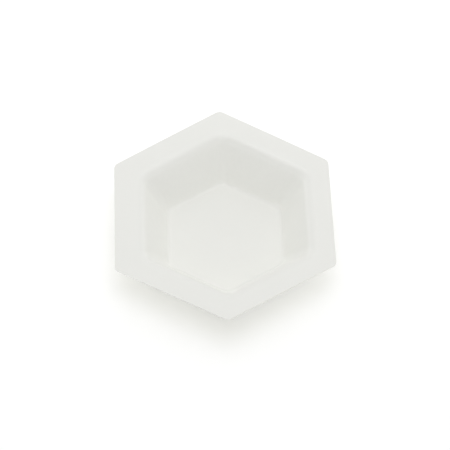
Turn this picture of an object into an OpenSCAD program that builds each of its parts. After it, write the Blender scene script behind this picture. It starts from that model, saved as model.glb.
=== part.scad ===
// Hexagonal weighing dish: one thin plastic sheet, drawn down into a shallow bowl with six sloping
// walls, a flat floor and a flat rim that a die cuts to shape. It stands on the flat underside of
// its floor, and the origin is the centre of that face. Two corners point along Y.

/* [Rim] */
// Width of the rim across two opposite flats
rim_flats = 64; // [56:0.5:90]
// Height of the rim's top face above the table
rim_height = 12.9; // [8:0.1:18]
// Radius of the rim's six corners, as the die cuts them
rim_corner_r = 2.2; // [0.5:0.1:6]

/* [Bowl] */
// Width of the floor across its flats, to where the walls would meet it without a bend
floor_flats = 34.2; // [26:0.2:42]
// Lean of the walls away from upright, in degrees
wall_lean = 30; // [15:0.5:40]
// Radius in plan of the bowl's six corners at the floor
floor_corner_r = 3.8; // [1.5:0.1:6]
// Radius in plan of the bowl's six corners at the mouth
mouth_corner_r = 4.6; // [1.5:0.1:8]
// Inside radius of the bend from the floor up into the walls
floor_bend_r = 1.4; // [0.5:0.1:3]
// Radius, over the top, of the bend from the walls out into the rim
mouth_bend_r = 3.6; // [1:0.1:5]

/* [Sheet] */
// Thickness of the sheet in the rim, where it is not drawn
rim_sheet = 0.4; // [0.25:0.05:0.8]
// Thickness of the sheet in the floor, where drawing has thinned it
floor_sheet = 0.2; // [0.12:0.01:0.6]

/* [Smoothness] */
// Steps round each of the bowl's corners
corner_steps = 8; // [4:1:12]
// Steps through each bend of the sheet
bend_steps = 6; // [3:1:10]

/* [Hidden] */
$fn = 96;
sides = 6;
turn = 360 / sides;
first_corner = 90;
slope = 90 - wall_lean;
floor_half = floor_flats / 2;
mouth_half = floor_half + (rim_height - floor_sheet) * tan(wall_lean);
// Each bend starts this many radii short of the sharp corner that it rounds
bend_reach = tan(slope / 2);
floor_bend_centre = [floor_half - floor_bend_r * bend_reach, floor_sheet + floor_bend_r];
mouth_bend_centre = [mouth_half + mouth_bend_r * bend_reach, rim_height - mouth_bend_r];
// The blank is wider than the rim all round, and the die runs this far past its two faces
trim = 3;

// Direction through the sheet from its upper face to its lower one, where the sheet rises at angle a
function through(a) = [sin(a), -cos(a)];

// Stations along the upper face in section, from the floor out to the rim: [half width, height, slope]
upper_face = [
    for (i = [0 : bend_steps])
        let (a = slope * i / bend_steps, p = floor_bend_centre + floor_bend_r * through(a))
            [p[0], p[1], a],
    for (i = [bend_steps : -1 : 0])
        let (a = slope * i / bend_steps, p = mouth_bend_centre - mouth_bend_r * through(a))
            [p[0], p[1], a]
];

// The corners open a little, and the sheet is less thinned, from the floor up to the mouth
function corner_r(half) =
    floor_corner_r + (mouth_corner_r - floor_corner_r) * (half - floor_half) / (mouth_half - floor_half);
function thickness(height) =
    floor_sheet + (rim_sheet - floor_sheet) * (height - floor_sheet) / (rim_height - floor_sheet);

// A level hexagon with rounded corners, as points that go round once
function ring(half, r, height) = [
    for (k = [0 : sides - 1], i = [0 : corner_steps])
        let (
            at = first_corner + k * turn,
            a = at + (i / corner_steps - 0.5) * turn,
            out = (half - r) / cos(turn / 2)
        )
            [out * cos(at) + r * cos(a), out * sin(at) + r * sin(a), height]
];

// The ring of the upper face at a station, and the ring of the lower face straight through the sheet
function upper_ring(s) = ring(s[0], corner_r(s[0]), s[1]);
function lower_ring(s) =
    let (t = thickness(s[1]), d = t * through(s[2]))
        ring(s[0] + d[0], corner_r(s[0]) + d[0], s[1] + d[1]);
function reversed(list) = [for (i = [len(list) - 1 : -1 : 0]) list[i]];

// A closed skin over rings of equal length, with a flat face across the first and the last
module skin(rings) {
    n = len(rings[0]);
    last = len(rings) - 1;
    polyhedron(
        points = [for (r = rings, p = r) p],
        faces = [
            [for (i = [n - 1 : -1 : 0]) i],
            for (j = [0 : last - 1], i = [0 : n - 1])
                let (a = j * n + i, b = j * n + (i + 1) % n)
                    each [[a, b, b + n], [a, b + n, a + n]],
            [for (i = [0 : n - 1]) last * n + i]
        ]
    );
}

// The sheet as it leaves the mould, with spare sheet all round the rim
module formed_sheet() {
    blank = rim_flats / 2 + trim;
    skin([
        for (s = upper_face) upper_ring(s),
        ring(blank, mouth_corner_r, rim_height),
        ring(blank, mouth_corner_r, rim_height - rim_sheet),
        for (s = reversed(upper_face)) lower_ring(s)
    ]);
}

// What the die cuts away beyond the arc of one corner
module corner_offcut() {
    spread = rim_flats * [cos(turn / 2), sin(turn / 2)];
    translate([(rim_flats / 2 - rim_corner_r) / cos(turn / 2), 0])
        difference() {
            polygon([[0, 0], [spread[0], -spread[1]], spread]);
            circle(rim_corner_r);
        }
}

// The outline that the die leaves: straight flats joined by true arcs
module rim_outline() {
    difference() {
        rotate(first_corner) circle(rim_flats / 2 / cos(turn / 2), $fn = sides);
        for (k = [0 : sides - 1]) rotate(first_corner + k * turn) corner_offcut();
    }
}

module dish() {
    color([0.93, 0.93, 0.91])
        intersection() {
            formed_sheet();
            translate([0, 0, -trim]) linear_extrude(rim_height + 2 * trim) rim_outline();
        }
}

dish();
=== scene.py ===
"""A hexagonal weighing dish, formed in one piece from thin white polystyrene sheet, on a pale studio floor.

The dish is one closed skin of rings. Each ring is a rounded hexagon, and the rings follow the sheet in
section: out over the floor, up the walls, over the lip and along the rim, round the cut edge, and back in
underneath."""
import math

import bpy
import numpy as np
from mathutils import Matrix, Vector


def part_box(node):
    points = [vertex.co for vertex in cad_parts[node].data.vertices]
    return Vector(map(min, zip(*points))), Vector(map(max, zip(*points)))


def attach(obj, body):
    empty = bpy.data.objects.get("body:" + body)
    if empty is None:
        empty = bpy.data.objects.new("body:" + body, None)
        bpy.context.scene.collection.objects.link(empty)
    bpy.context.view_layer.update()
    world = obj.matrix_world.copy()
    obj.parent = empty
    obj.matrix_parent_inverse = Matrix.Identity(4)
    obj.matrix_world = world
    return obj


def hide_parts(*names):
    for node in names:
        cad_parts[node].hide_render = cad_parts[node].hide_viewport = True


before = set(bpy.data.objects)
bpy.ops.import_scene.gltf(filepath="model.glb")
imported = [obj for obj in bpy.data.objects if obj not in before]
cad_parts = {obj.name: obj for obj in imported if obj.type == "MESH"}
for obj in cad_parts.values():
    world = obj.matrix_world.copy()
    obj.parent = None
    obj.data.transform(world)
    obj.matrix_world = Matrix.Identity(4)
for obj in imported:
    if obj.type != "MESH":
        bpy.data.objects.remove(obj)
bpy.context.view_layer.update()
MM = 0.001

# ---------------------------------------------------------------- sizes, in metres

# The rim's width and height are read off the CAD part, and the bowl and the sheet repeat its own sizes
dish_low, dish_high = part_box("dish")
RIM_HALF = (dish_high.x - dish_low.x) / 2
RIM_HEIGHT = dish_high.z
RIM_CORNER_R = 2.2 * MM
FLOOR_HALF = 17.1 * MM
WALL_LEAN = math.radians(30)
FLOOR_CORNER_R = 3.8 * MM
MOUTH_CORNER_R = 4.6 * MM
FLOOR_BEND_R = 1.4 * MM
MOUTH_BEND_R = 3.6 * MM
RIM_SHEET = 0.4 * MM
FLOOR_SHEET = 0.2 * MM
# The die leaves a small round along both sides of the cut edge
CUT_EDGE_R = 0.07 * MM
# The die didn't sit quite central on this bowl, so the bowl lies this far off the middle of the rim
BOWL_OFFSET = (0.6 * MM, -0.15 * MM)
# A thin sheet takes a set as it cools: the corners on Y stand up, the flats on X drop, and the rim settles
RIM_TWIST = 0.62 * MM
RIM_SETTLE = 0.47 * MM

WALL_SLOPE = math.radians(90) - WALL_LEAN
MOUTH_HALF = FLOOR_HALF + (RIM_HEIGHT - FLOOR_SHEET) * math.tan(WALL_LEAN)
# Each bend starts this many radii short of the sharp corner that it rounds
BEND_REACH = math.tan(WALL_SLOPE / 2)
LIP_HALF = MOUTH_HALF + MOUTH_BEND_R * BEND_REACH
# The floor's corners keep their radius in to this half width, and close from there to the middle
FLOOR_ROUND_HALF = FLOOR_HALF - 2 * MM
# By this half width the bowl's offset has faded
OFFSET_END_HALF = RIM_HALF - 3 * CUT_EDGE_R
# A ring close inside the cut edge's round keeps the rim's shading flat up to it
RIM_FLAT_HALF = RIM_HALF - 2.5 * CUT_EDGE_R
# The innermost ring, close round the middle of the floor
MIDDLE_HALF = 0.02 * MM
HEXAGON_SIDES = 6

# How finely the skin is cut into faces: in section from the middle outward, and then in plan
FLOOR_STEPS = 14
BEND_STEPS = 14
WALL_STEPS = 12
RIM_STEPS = 10
CUT_EDGE_STEPS = 5
CORNER_STEPS = 14
SIDE_STEPS = 24


# ---------------------------------------------------------------- the sheet

def hexagon_lap(corner_steps, side_steps):
    """One lap round a hexagon with two corners on Y, as (sharp, outward), each a row of xy points.

    sharp is the outline of a hexagon whose flats are 1 from its centre, which waits at each corner while
    outward, the unit normal, turns through the corner's 60 degrees. A rounded hexagon is then
    (half - r) * sharp + r * outward, because rounding a hexagon's corners is the same as growing a smaller
    sharp one by the corner radius."""
    sixth = 2 * math.pi / HEXAGON_SIDES
    corner_at = math.pi / 2 + np.arange(HEXAGON_SIDES) * sixth
    turn = np.linspace(-0.5, 0.5, corner_steps + 1) * sixth
    along = np.arange(1, side_steps)[None, :, None] / side_steps
    corner = np.stack([np.cos(corner_at), np.sin(corner_at)], 1)[:, None] / math.cos(sixth / 2)
    waiting = np.repeat(corner, corner_steps + 1, 1)
    walking = corner * (1 - along) + np.roll(corner, -1, 0) * along
    sharp = np.concatenate([waiting, walking], 1).reshape(-1, 2)
    turning = corner_at[:, None] + turn
    facing = np.concatenate([turning, np.repeat(turning[:, -1:], side_steps - 1, 1)], 1)
    outward = np.stack([np.cos(facing), np.sin(facing)], -1).reshape(-1, 2)
    return sharp, outward


def bend(centre, radius, slopes, side):
    """Stations round a bend in section: centre + side * radius * (sin slope, -cos slope).

    side is 1 where the sheet bends up, round a centre above it, and -1 where it bends out, round a centre
    below it."""
    half = centre[0] + side * radius * np.sin(slopes)
    height = centre[1] - side * radius * np.cos(slopes)
    return np.stack([half, height, slopes], 1)


def between(a, b, steps):
    """Stations spaced evenly between two, without the two themselves."""
    t = np.arange(1, steps)[:, None] / steps
    return a * (1 - t) + b * t


def upper_section():
    """The upper face of the sheet in section, from the middle of the floor out to the cut edge.

    Rows of (half width, height, slope): a flat floor, a bend up, a straight wall, a wider bend out, and a
    flat rim."""
    slopes = np.linspace(0, WALL_SLOPE, BEND_STEPS + 1)
    foot_centre = (FLOOR_HALF - FLOOR_BEND_R * BEND_REACH, FLOOR_SHEET + FLOOR_BEND_R)
    foot = bend(foot_centre, FLOOR_BEND_R, slopes, 1)
    lip = bend((LIP_HALF, RIM_HEIGHT - MOUTH_BEND_R), MOUTH_BEND_R, slopes[::-1], -1)
    middle = np.array([MIDDLE_HALF, FLOOR_SHEET, 0])
    flat = np.array([RIM_FLAT_HALF, RIM_HEIGHT, 0])
    edge = np.array([RIM_HALF - CUT_EDGE_R, RIM_HEIGHT, 0])
    return np.concatenate([
        middle[None],
        between(middle, foot[0], FLOOR_STEPS),
        foot,
        between(foot[-1], lip[0], WALL_STEPS),
        lip,
        between(lip[-1], flat, RIM_STEPS),
        flat[None],
        edge[None],
    ])


def corner_radius(half):
    """Corner radius in plan: it opens from the middle of the floor out to the foot, opens on up the wall,
    and closes to the die's corner across the rim."""
    opening = (MOUTH_CORNER_R - FLOOR_CORNER_R) / (MOUTH_HALF - FLOOR_HALF)
    lip_corner_r = MOUTH_CORNER_R + opening * (LIP_HALF - MOUTH_HALF)
    places = [0, FLOOR_ROUND_HALF, FLOOR_HALF, MOUTH_HALF, LIP_HALF, RIM_HALF]
    radii = [0, FLOOR_CORNER_R, FLOOR_CORNER_R, MOUTH_CORNER_R, lip_corner_r, RIM_CORNER_R]
    return np.interp(half, places, radii)


def sheet_skin():
    """Rings of the whole skin as rows of (half width, height, corner radius), with how far the sheet is
    drawn at each ring, from 0 in the rim to 1 in the floor, and 1 for each ring of cut edge.

    The lower face is the upper one moved by the sheet's thickness through it, t * (sin slope, -cos slope),
    and its corners open by the same step outward. t falls in a straight line with height, as drawing thins
    the sheet."""
    half, height, slope = upper_section().T
    drawn = 1 - (height - FLOOR_SHEET) / (RIM_HEIGHT - FLOOR_SHEET)
    t = RIM_SHEET + (FLOOR_SHEET - RIM_SHEET) * drawn
    r = corner_radius(half)
    upper = np.stack([half, height, r], 1)
    step_out, step_down = t * np.sin(slope), t * np.cos(slope)
    lower = np.stack([half + step_out, height - step_down, r + step_out], 1)[::-1]

    a = np.linspace(0, math.pi / 2, CUT_EDGE_STEPS + 1)[1:]
    edge_out, edge_up = CUT_EDGE_R * np.sin(a), CUT_EDGE_R * np.cos(a)
    round_over = np.stack([
        RIM_HALF - CUT_EDGE_R + edge_out,
        RIM_HEIGHT - CUT_EDGE_R + edge_up,
        RIM_CORNER_R - CUT_EDGE_R + edge_out,
    ], 1)
    # The lower round is the upper one mirrored in the middle of the rim's sheet
    round_under = round_over[::-1] * (1, -1, 1) + (0, 2 * RIM_HEIGHT - RIM_SHEET, 0)

    skin = np.concatenate([upper, round_over, round_under, lower])
    edge_rings = 2 * CUT_EDGE_STEPS
    uncut = np.zeros(len(upper))
    cut = np.concatenate([uncut, np.ones(edge_rings), uncut])
    return skin, np.concatenate([drawn, np.zeros(edge_rings), drawn[::-1]]), cut


def settle(points):
    """The set that the cooled sheet takes: height changes by twist * (y^2 - x^2) / (rim half)^2, less a
    steady settle, both times the square of the height's share of the rim's height, so that the floor stays
    flat."""
    x, y, z = points[..., 0], points[..., 1], points[..., 2]
    rise = np.clip(z / RIM_HEIGHT, 0, 1) ** 2
    return np.stack([x, y, z + rise * (RIM_TWIST * (y * y - x * x) / RIM_HALF**2 - RIM_SETTLE)], -1)


def dish_points(skin):
    """All points of the skin, ring by ring, then the two poles, with the number of points in a ring.

    The bowl lies off the rim's middle by BOWL_OFFSET, which fades from the lip out to the cut edge."""
    sharp, outward = hexagon_lap(CORNER_STEPS, SIDE_STEPS)
    half, height, r = [column[:, None, None] for column in skin.T]
    held = np.interp(half, [LIP_HALF, OFFSET_END_HALF], [1, 0])
    xy = (half - r) * sharp + r * outward + held * np.array(BOWL_OFFSET)
    z = np.broadcast_to(height, xy.shape[:2] + (1,))
    points = settle(np.concatenate([xy, z], -1))
    poles = np.array([[*BOWL_OFFSET, skin[0, 1]], [*BOWL_OFFSET, skin[-1, 1]]])
    return np.concatenate([points.reshape(-1, 3), poles]), len(sharp)


def closed_skin_faces(rings, lap):
    """Quads over rings of lap points that each close on themselves, with a fan to a pole at either end."""
    ring = np.arange(rings - 1)[:, None] * lap
    here = np.arange(lap)[None]
    following = (here + 1) % lap
    corners = np.broadcast_arrays(ring + here, ring + lap + here, ring + lap + following, ring + following)
    here, following = here[0], following[0]
    top_pole, under_pole, last = rings * lap, rings * lap + 1, (rings - 1) * lap
    top_fan = np.stack([np.full(lap, top_pole), here, following], 1)
    under_fan = np.stack([np.full(lap, under_pole), last + following, last + here], 1)
    return np.stack(corners, -1).reshape(-1, 4).tolist() + top_fan.tolist() + under_fan.tolist()


def mark(mesh, name, ring_values, lap):
    """A value for each ring, kept on the mesh's points, with the first and last ring's on the two poles."""
    spread = np.append(np.repeat(ring_values, lap), [ring_values[0], ring_values[-1]])
    values = mesh.attributes.new(name, "FLOAT", "POINT").data
    values.foreach_set("value", spread.astype(np.float32))


def make_dish():
    """The formed sheet as one closed mesh, in place of the CAD dish."""
    skin, drawn, cut = sheet_skin()
    points, lap = dish_points(skin)
    mesh = bpy.data.meshes.new("dish_formed")
    mesh.from_pydata(points.tolist(), [], closed_skin_faces(len(skin), lap))
    mesh.polygons.foreach_set("use_smooth", np.ones(len(mesh.polygons), bool))
    mark(mesh, "drawn", drawn, lap)
    mark(mesh, "cut", cut, lap)
    mesh.update()
    mesh.materials.append(polystyrene())
    piece = bpy.data.objects.new("dish_formed", mesh)
    bpy.context.collection.objects.link(piece)
    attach(piece, "root")
    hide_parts("dish")


# ---------------------------------------------------------------- finish

WARM_WHITE = np.array([0.998, 1.0, 0.957])
# Light that comes through the sheet is a little warmer
WARM_LIGHT = (1.0, 1.0, 0.95)
# Tone of the white by how far the sheet is drawn: 0 in the rim, 1 in the floor, and the walls between.
# Beyond the white's own tone these hold painted light: the walls are painted lighter, most near the foot, as
# a painted glow of light through the thin drawn sheet and against the shade deep in the bowl, and the rim a
# little darker than the floor, as painted shade where light leaks out below it
WHITE_AND_PAINTED_GLOW_TONES = [(0.02, 0.734), (0.12, 0.807), (0.8, 0.838), (0.95, 0.859), (0.995, 0.747)]
# The cut edge is painted paler than the rim, a painted glow of light through the sheet at its edge
CUT_PAINTED_GLOW_TONE = 0.82
# How much of a lamp's light goes on through each face of the sheet, by how far it is drawn
LIGHT_PASSED = [(0.005, 0.72), (0.06, 0.0)]
POLYSTYRENE_IOR = 1.59
ROUGHNESS = 0.4

# Sizes of what the surface shows
CLOUD_SIZE = 9 * MM
MOTTLE_SIZE = 1.1 * MM
WAVE_SIZE = 13 * MM
SATIN_SIZE = 0.3 * MM
# Streaks run up the walls, this many times longer than they are wide, between these two shares of draw
STREAK_WIDTH = 0.8 * MM
STREAK_STRETCH = (1, 1, 22)
STREAKED = (0.05, 0.98)
# Rubs are finer, run in three directions in plan, and come up from the first of these stops to the second
RUB_WIDTH = 0.22 * MM
RUB_STRETCH = (1, 26, 26)
RUB_TURNS = (0.5, 1.7, 2.6)
RUB_STOPS = [(0.52, 0), (0.66, 1)]

# What each of these adds to the shade of the white, to the roughness, and to the relief in millimetres
SHADE_FROM = {"clouds": 0.012, "mottle": 0.007, "streaks": 0.016}
ROUGHNESS_FROM = {"clouds": 0.05, "satin": 0.04, "rubs": -0.1, "cut": 0.2}
RELIEF_FROM = {"waves": 0.05, "satin": 0.0035, "mottle": 0.005, "streaks": 0.007, "rubs": -0.002}


def add(tree, kind, **settings):
    """A new shader node in the tree of a material or the world, with its own settings."""
    node = tree.nodes.new("ShaderNode" + kind)
    for name, value in settings.items():
        setattr(node, name, value)
    return node


def feed(tree, socket, source):
    """Link a source to a socket, or set the socket where the source is a plain value."""
    if isinstance(source, bpy.types.NodeSocket):
        tree.links.new(source, socket)
    else:
        socket.default_value = source


def mathed(tree, operation, *sources):
    """The result of a Math node over sockets and numbers."""
    node = add(tree, "Math", operation=operation)
    for socket, source in zip(node.inputs, sources):
        feed(tree, socket, source)
    return node.outputs[0]


def greatest(tree, sources):
    """The greatest of several sockets."""
    most = sources[0]
    for source in sources[1:]:
        most = mathed(tree, "MAXIMUM", most, source)
    return most


def weighted(tree, start, features, weights):
    """start, plus each named feature times its weight."""
    total = start
    for name, weight in weights.items():
        total = mathed(tree, "MULTIPLY_ADD", features[name], weight, total)
    return total


def grain(tree, place, size, detail, stretch=(1, 1, 1), turn=0.0):
    """Noise from -1 to 1 with features of this size in metres.

    They are stretched along some axes, and those axes turn about Z."""
    mapping = add(tree, "Mapping", vector_type="TEXTURE")
    feed(tree, mapping.inputs["Vector"], place)
    mapping.inputs["Scale"].default_value = [size * s for s in stretch]
    mapping.inputs["Rotation"].default_value[2] = turn
    noise = add(tree, "TexNoise")
    feed(tree, noise.inputs["Vector"], mapping.outputs[0])
    noise.inputs["Scale"].default_value = 1
    noise.inputs["Detail"].default_value = detail
    return mathed(tree, "MULTIPLY_ADD", noise.outputs[0], 2.0, -1.0)


def attribute(tree, name):
    """A value that mark() has kept on the mesh."""
    return add(tree, "Attribute", attribute_name=name).outputs["Fac"]


def mixed(tree, factor, first, second):
    """A Mix Shader: first where the factor is 0, second where it is 1."""
    node = add(tree, "MixShader")
    for socket, source in zip(node.inputs, (factor, first, second)):
        feed(tree, socket, source)
    return node.outputs[0]


def ramp(tree, source, stops, tint=WARM_WHITE):
    """A Color Ramp over (position, tone) stops, each tone a number times the tint."""
    node = add(tree, "ValToRGB")
    elements = node.color_ramp.elements
    # A new ramp comes with two stops: one is reused, and the other dropped
    elements.remove(elements[1])
    for n, (position, tone) in enumerate(stops):
        element = elements[0] if n == 0 else elements.new(position)
        element.position = position
        element.color = (*(np.array(tint) * tone), 1)
    feed(tree, node.inputs["Fac"], source)
    return node.outputs[0]


def ranged(tree, source, from_low, from_high, to_low=0.0, to_high=1.0, **settings):
    """The result of a Map Range node."""
    node = add(tree, "MapRange", **settings)
    feed(tree, node.inputs["Value"], source)
    limits = {"From Min": from_low, "From Max": from_high, "To Min": to_low, "To Max": to_high}
    for name, value in limits.items():
        node.inputs[name].default_value = value
    return node.outputs[0]


def band(tree, source, low, high, ease=0.1):
    """1 where the source lies well between low and high, easing to 0 at both."""
    rising = ranged(tree, source, low, low + ease, interpolation_type="SMOOTHSTEP")
    falling = ranged(tree, source, high, high - ease, interpolation_type="SMOOTHSTEP")
    return mathed(tree, "MULTIPLY", rising, falling)


def surface_features(tree, drawn, cut):
    """What the surface shows, by name, each from -1 to 1, or from 0 to 1 for the rubs and the cut edge."""
    place = add(tree, "TexCoord").outputs["Object"]
    streaks = grain(tree, place, STREAK_WIDTH, detail=3, stretch=STREAK_STRETCH)
    rubs = [
        ramp(tree, grain(tree, place, RUB_WIDTH, detail=1, stretch=RUB_STRETCH, turn=turn), RUB_STOPS)
        for turn in RUB_TURNS
    ]
    return {
        "clouds": grain(tree, place, CLOUD_SIZE, detail=3),
        "mottle": grain(tree, place, MOTTLE_SIZE, detail=2),
        "streaks": mathed(tree, "MULTIPLY", streaks, band(tree, drawn, *STREAKED)),
        "waves": grain(tree, place, WAVE_SIZE, detail=1),
        "satin": grain(tree, place, SATIN_SIZE, detail=3),
        "rubs": greatest(tree, rubs),
        "cut": cut,
    }


def polystyrene():
    """Satin white sheet: a warm white with faint clouding and mottle, streaks drawn up the walls, a fine
    grain and a slow waviness in relief, rubs that polish it here and there, and a rougher cut edge that is
    painted paler, as a painted glow.
    Its tones by draw hold painted light as well: walls painted lighter as a glow of light through the thin
    sheet, and a rim painted a little darker as painted shade. The rim passes some light on to the table."""
    material = bpy.data.materials.new("polystyrene")
    material.use_nodes = True
    tree = material.node_tree
    surface = tree.nodes["Principled BSDF"]
    surface.inputs["IOR"].default_value = POLYSTYRENE_IOR
    drawn, cut = attribute(tree, "drawn"), attribute(tree, "cut")
    features = surface_features(tree, drawn, cut)

    edged = add(tree, "Mix", data_type="RGBA")
    feed(tree, edged.inputs["Factor"], cut)
    # Sockets 6 and 7 and output 2 are the Mix node's colours, which share their names with its other kinds
    # The tones by draw carry painted light: walls painted lighter as a glow through the sheet, the rim
    # painted darker as shade
    feed(tree, edged.inputs[6], ramp(tree, drawn, WHITE_AND_PAINTED_GLOW_TONES))
    # The cut edge's tone is painted paler, as a glow of light through the sheet's edge
    feed(tree, edged.inputs[7], (*(WARM_WHITE * CUT_PAINTED_GLOW_TONE), 1))
    shaded = add(tree, "VectorMath", operation="SCALE")
    feed(tree, shaded.inputs[0], edged.outputs[2])
    feed(tree, shaded.inputs["Scale"], weighted(tree, 1.0, features, SHADE_FROM))
    feed(tree, surface.inputs["Base Color"], shaded.outputs[0])
    feed(tree, surface.inputs["Roughness"], weighted(tree, ROUGHNESS, features, ROUGHNESS_FROM))

    bump = add(tree, "Bump")
    bump.inputs["Distance"].default_value = MM
    feed(tree, bump.inputs["Height"], weighted(tree, 0.0, features, RELIEF_FROM))
    feed(tree, surface.inputs["Normal"], bump.outputs[0])

    # Only shadow rays and bounced diffuse rays meet the thin sheet: to the camera and to gloss it is solid
    through = add(tree, "BsdfTransparent")
    through.inputs["Color"].default_value = (*WARM_LIGHT, 1)
    passed = ramp(tree, drawn, LIGHT_PASSED, (1, 1, 1))
    thin = mixed(tree, passed, surface.outputs[0], through.outputs[0])
    light = add(tree, "LightPath")
    bounced = mixed(tree, light.outputs["Is Diffuse Ray"], surface.outputs[0], thin)
    shadowed = mixed(tree, light.outputs["Is Shadow Ray"], bounced, thin)
    feed(tree, tree.nodes["Material Output"].inputs["Surface"], shadowed)
    return material


make_dish()

# ---------------------------------------------------------------- studio

WHITE = (1, 1, 1, 1)
STUDIO_FLOOR_HALF = 3.0
# The studio floor lies just under the dish, so that their faces don't fight
STUDIO_FLOOR_Z = -0.05 * MM
WORLD_LIGHT = 0.51
# The floor's glow is this out to the nearer distance, and rises to 1 - WORLD_LIGHT at the further one
FLOOR_GLOW = 0.033
GLOW_NEAR = 0.2
GLOW_FAR = 1.2


def looked_at(tree):
    """1 for rays that come straight from the camera, or by way of gloss or glass, and 0 for other rays."""
    rays = add(tree, "LightPath").outputs
    return greatest(tree, [rays["Is Camera Ray"], rays["Is Glossy Ray"], rays["Is Transmission Ray"]])


def studio_floor():
    """A wide white floor that keeps the shadow. A glow that only the camera, gloss and glass see lifts it to
    white, more so further out, where the lamps don't reach."""
    material = bpy.data.materials.new("studio_floor")
    material.use_nodes = True
    tree = material.node_tree
    surface = tree.nodes["Principled BSDF"]
    surface.inputs["Base Color"].default_value = WHITE
    surface.inputs["Roughness"].default_value = 1.0
    surface.inputs["Specular IOR Level"].default_value = 0.0
    reach = add(tree, "VectorMath", operation="LENGTH")
    feed(tree, reach.inputs[0], add(tree, "TexCoord").outputs["Object"])
    glow = ranged(tree, reach.outputs["Value"], GLOW_NEAR, GLOW_FAR, FLOOR_GLOW, 1 - WORLD_LIGHT)
    surface.inputs["Emission Color"].default_value = WHITE
    feed(tree, surface.inputs["Emission Strength"], mathed(tree, "MULTIPLY", glow, looked_at(tree)))
    mesh = bpy.data.meshes.new("studio_floor")
    s, z = STUDIO_FLOOR_HALF, STUDIO_FLOOR_Z
    mesh.from_pydata([(-s, -s, z), (s, -s, z), (s, s, z), (-s, s, z)], [], [(0, 1, 2, 3)])
    mesh.materials.append(material)
    floor = bpy.data.objects.new("studio_floor", mesh)
    bpy.context.collection.objects.link(floor)


def studio_world():
    """Even white surroundings, which light the dish by WORLD_LIGHT and look full white."""
    world = bpy.data.worlds.new("studio")
    world.use_nodes = True
    tree = world.node_tree
    background = tree.nodes["Background"]
    background.inputs["Color"].default_value = WHITE
    strength = mathed(tree, "MULTIPLY_ADD", looked_at(tree), 1 - WORLD_LIGHT, WORLD_LIGHT)
    feed(tree, background.inputs["Strength"], strength)
    bpy.context.scene.world = world


def towards(azimuth, elevation):
    """Unit vector from the dish at an azimuth, clockwise from +Y in degrees, and an elevation in degrees."""
    a, e = math.radians(azimuth), math.radians(elevation)
    return Vector((math.sin(a) * math.cos(e), math.cos(a) * math.cos(e), math.sin(e)))


def softbox(name, azimuth, elevation, distance, size, watts):
    """A square area lamp that looks at the dish."""
    lamp = bpy.data.lights.new(name, "AREA")
    lamp.size, lamp.energy = size, watts
    box = bpy.data.objects.new(name, lamp)
    box.location = towards(azimuth, elevation) * distance
    box.rotation_euler = (-box.location).to_track_quat("-Z", "Y").to_euler()
    bpy.context.collection.objects.link(box)


def studio_lights():
    """A soft key from overhead, four low ones round about, a wide one on either side, and one behind."""
    softbox("overhead", azimuth=0, elevation=90, distance=0.8, size=0.5, watts=1.94)
    for azimuth in (45, 135, 225, 315):
        softbox(f"low_{azimuth}", azimuth, elevation=15, distance=0.8, size=0.4, watts=0.503)
    softbox("right", azimuth=80, elevation=50, distance=0.8, size=1.1, watts=0.65)
    softbox("left", azimuth=280, elevation=50, distance=0.8, size=1.1, watts=0.29)
    softbox("behind", azimuth=0, elevation=50, distance=0.3, size=0.3, watts=0.165)


studio_floor()
studio_world()
studio_lights()

# ---------------------------------------------------------------- camera

CAMERA_DISTANCE = 0.572
CAMERA_NEAR = 0.01
CAMERA_ELEVATION = math.radians(56.3)
CAMERA_TURN = math.radians(3.3)
CAMERA_ROLL = math.radians(1.45)
CAMERA_FOV = math.radians(13.15)
# What the camera looks at, right and up from the rim's middle as the camera sees it
CAMERA_AIM = (0.5 * MM, -3.65 * MM)


def place_camera(camera):
    """Look at the aim point from an elevation and a turn about Z, counted from -Y, with a small roll."""
    e, t = CAMERA_ELEVATION, CAMERA_TURN
    back = Vector((-math.sin(t) * math.cos(e), -math.cos(t) * math.cos(e), math.sin(e)))
    right = Vector((math.cos(t), -math.sin(t), 0))
    up = back.cross(right)
    aim = Vector((0, 0, RIM_HEIGHT)) + right * CAMERA_AIM[0] + up * CAMERA_AIM[1]
    axes = Matrix((right, up, back)).transposed().to_4x4()
    roll = Matrix.Rotation(CAMERA_ROLL, 4, "Z")
    camera.matrix_world = Matrix.Translation(aim + back * CAMERA_DISTANCE) @ axes @ roll


camera = bpy.data.objects.new("camera", bpy.data.cameras.new("camera"))
camera.data.clip_start = CAMERA_NEAR
camera.data.angle = CAMERA_FOV
place_camera(camera)
bpy.context.collection.objects.link(camera)
bpy.context.scene.camera = camera
bpy.context.scene.view_settings.view_transform = "Standard"
